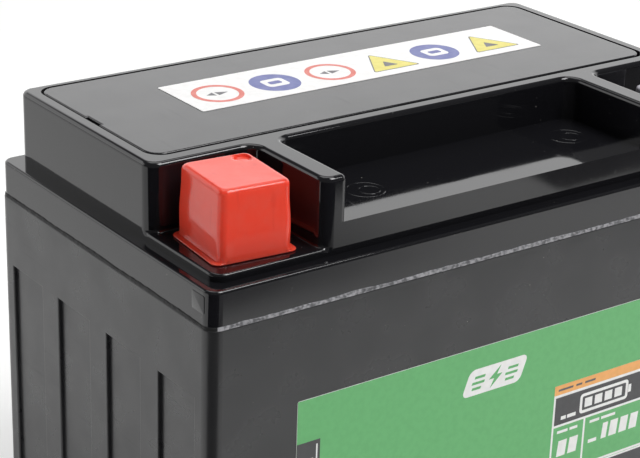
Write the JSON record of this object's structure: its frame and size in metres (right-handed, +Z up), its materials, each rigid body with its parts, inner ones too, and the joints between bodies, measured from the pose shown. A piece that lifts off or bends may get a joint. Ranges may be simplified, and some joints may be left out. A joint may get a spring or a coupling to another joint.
{
  "type": "motorcycle battery",
  "caption": "Sealed glass-mat motorcycle battery: black fluted case, stepped lid with terminal wells, vent cover over rubber valves and a red lift-off cap on the positive terminal.",
  "frame": {"origin": "centre of the underside of the case", "axes": "+X along the case towards the negative terminal, +Y towards the back, away from the terminals, +Z up"},
  "size_m": [0.15, 0.087, 0.1054],
  "materials": {
    "case_plastic": "moulded ABS, semi-gloss black",
    "lid_plastic": "moulded ABS, glossy black",
    "cover_plastic": "moulded ABS, satin black",
    "valve_rubber": "moulded rubber, black",
    "cap_vinyl": "soft dipped vinyl, glossy red",
    "terminal_lead": "cast lead alloy, dull grey",
    "nut_steel": "zinc-plated steel",
    "potting_resin": "cast epoxy resin, black",
    "positive_plate_lead": "lead dioxide paste on a lead grid, brown",
    "grid_lead": "cast lead alloy and grey sponge lead",
    "glass_mat": "pressed glass-fibre mat, white",
    "front_label_film": "printed film, green and dark grey with white borders",
    "cover_label_film": "printed film, white with six plain coloured shapes"
  },
  "bodies": {
    "battery": {"case": "case_plastic", "lid": "lid_plastic", "valve_cap_1": "valve_rubber", "valve_cap_2": "valve_rubber", "valve_cap_3": "valve_rubber", "valve_cap_4": "valve_rubber", "valve_cap_5": "valve_rubber", "valve_cap_6": "valve_rubber", "positive_terminal": "terminal_lead", "positive_nut": "nut_steel", "positive_post": "grid_lead", "positive_post_seal": "valve_rubber", "positive_post_resin": "potting_resin", "negative_terminal": "terminal_lead", "negative_nut": "nut_steel", "negative_post": "grid_lead", "negative_post_seal": "valve_rubber", "negative_post_resin": "potting_resin", "front_label": "front_label_film", "positive_plates_1": "positive_plate_lead", "negative_plates_1": "grid_lead", "separators_1": "glass_mat", "positive_plates_2": "positive_plate_lead", "negative_plates_2": "grid_lead", "separators_2": "glass_mat", "positive_plates_3": "positive_plate_lead", "negative_plates_3": "grid_lead", "separators_3": "glass_mat", "positive_plates_4": "positive_plate_lead", "negative_plates_4": "grid_lead", "separators_4": "glass_mat", "positive_plates_5": "positive_plate_lead", "negative_plates_5": "grid_lead", "separators_5": "glass_mat", "positive_plates_6": "positive_plate_lead", "negative_plates_6": "grid_lead", "separators_6": "glass_mat", "cell_link_1": "grid_lead", "cell_link_2": "grid_lead", "cell_link_3": "grid_lead", "cell_link_4": "grid_lead", "cell_link_5": "grid_lead"},
    "cover": {"vent_cover": "cover_plastic", "cover_label": "cover_label_film"},
    "terminal_cap": {"positive_cap": "cap_vinyl"}
  },
  "joints": [
    {"name": "vent_cover_lift", "type": "slide", "parent": "battery", "child": "cover", "axis": [0, 0, 1], "range_m": [0, 0.03]},
    {"name": "positive_cap_lift", "type": "slide", "parent": "battery", "child": "terminal_cap", "axis": [0, 0, 1], "range_m": [0, 0.03]}
  ]
}
